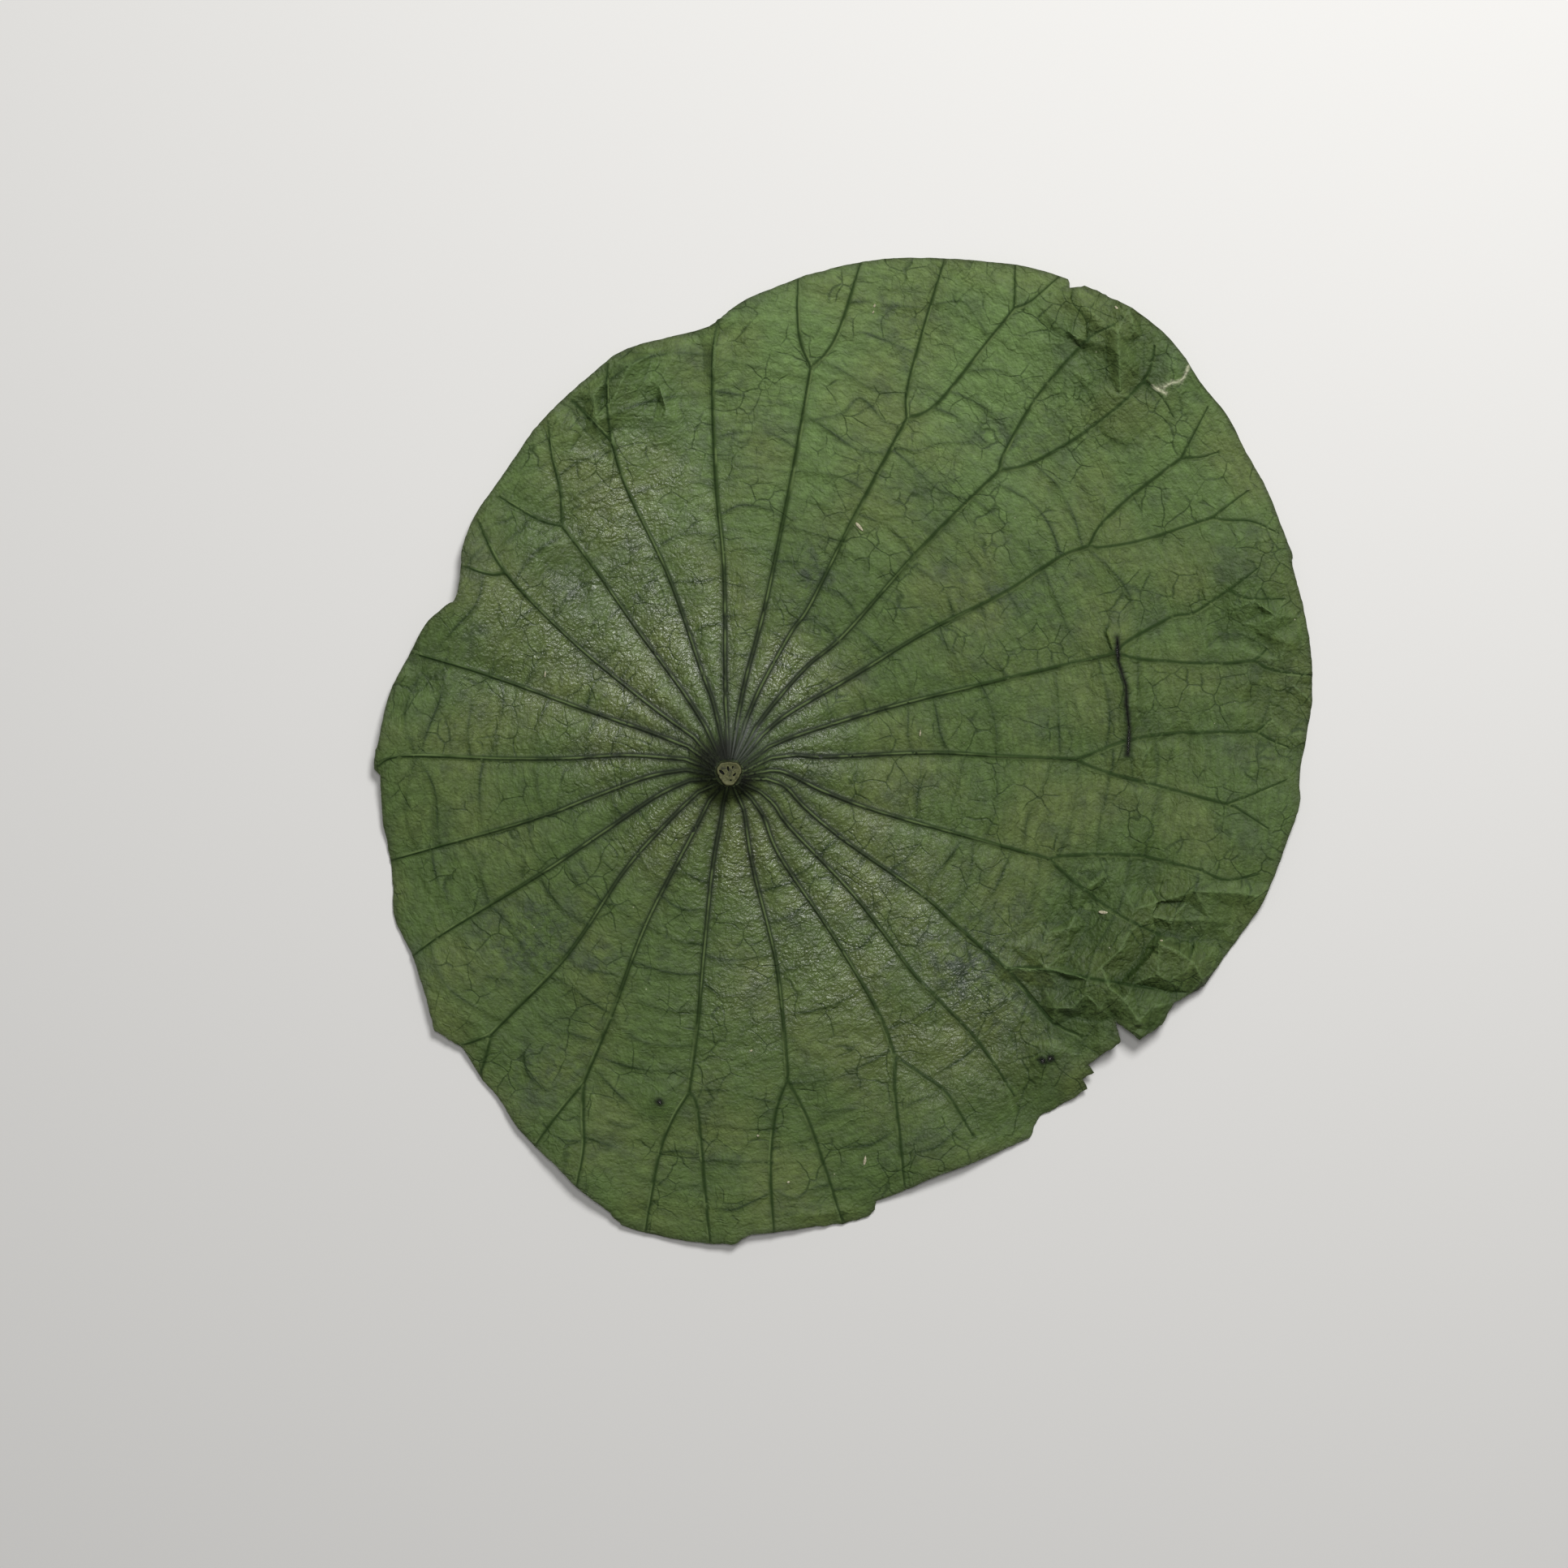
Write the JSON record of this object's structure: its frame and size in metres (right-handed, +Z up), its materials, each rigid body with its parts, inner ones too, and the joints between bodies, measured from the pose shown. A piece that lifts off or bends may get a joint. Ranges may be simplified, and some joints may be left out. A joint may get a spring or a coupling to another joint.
{
  "type": "lotus leaf",
  "caption": "Preserved lotus leaf lying underside up: a thin near-round blade with raised forking veins that radiate from a short cut stalk stub.",
  "frame": {"origin": "middle of the leaf's outline, on the surface that it lies on", "axes": "+Z up, out of the veined underside; +Y along the leaf's longer side, towards the widest lobes; +X from the stalk towards the wide half of the blade"},
  "size_m": [0.2852, 0.3002, 0.0138],
  "materials": {
    "leaf_skin": "satin green plant skin, waxy and grained near the stalk, duller towards the rim"
  },
  "bodies": {
    "root": {"leaf": "leaf_skin"}
  },
  "joints": []
}
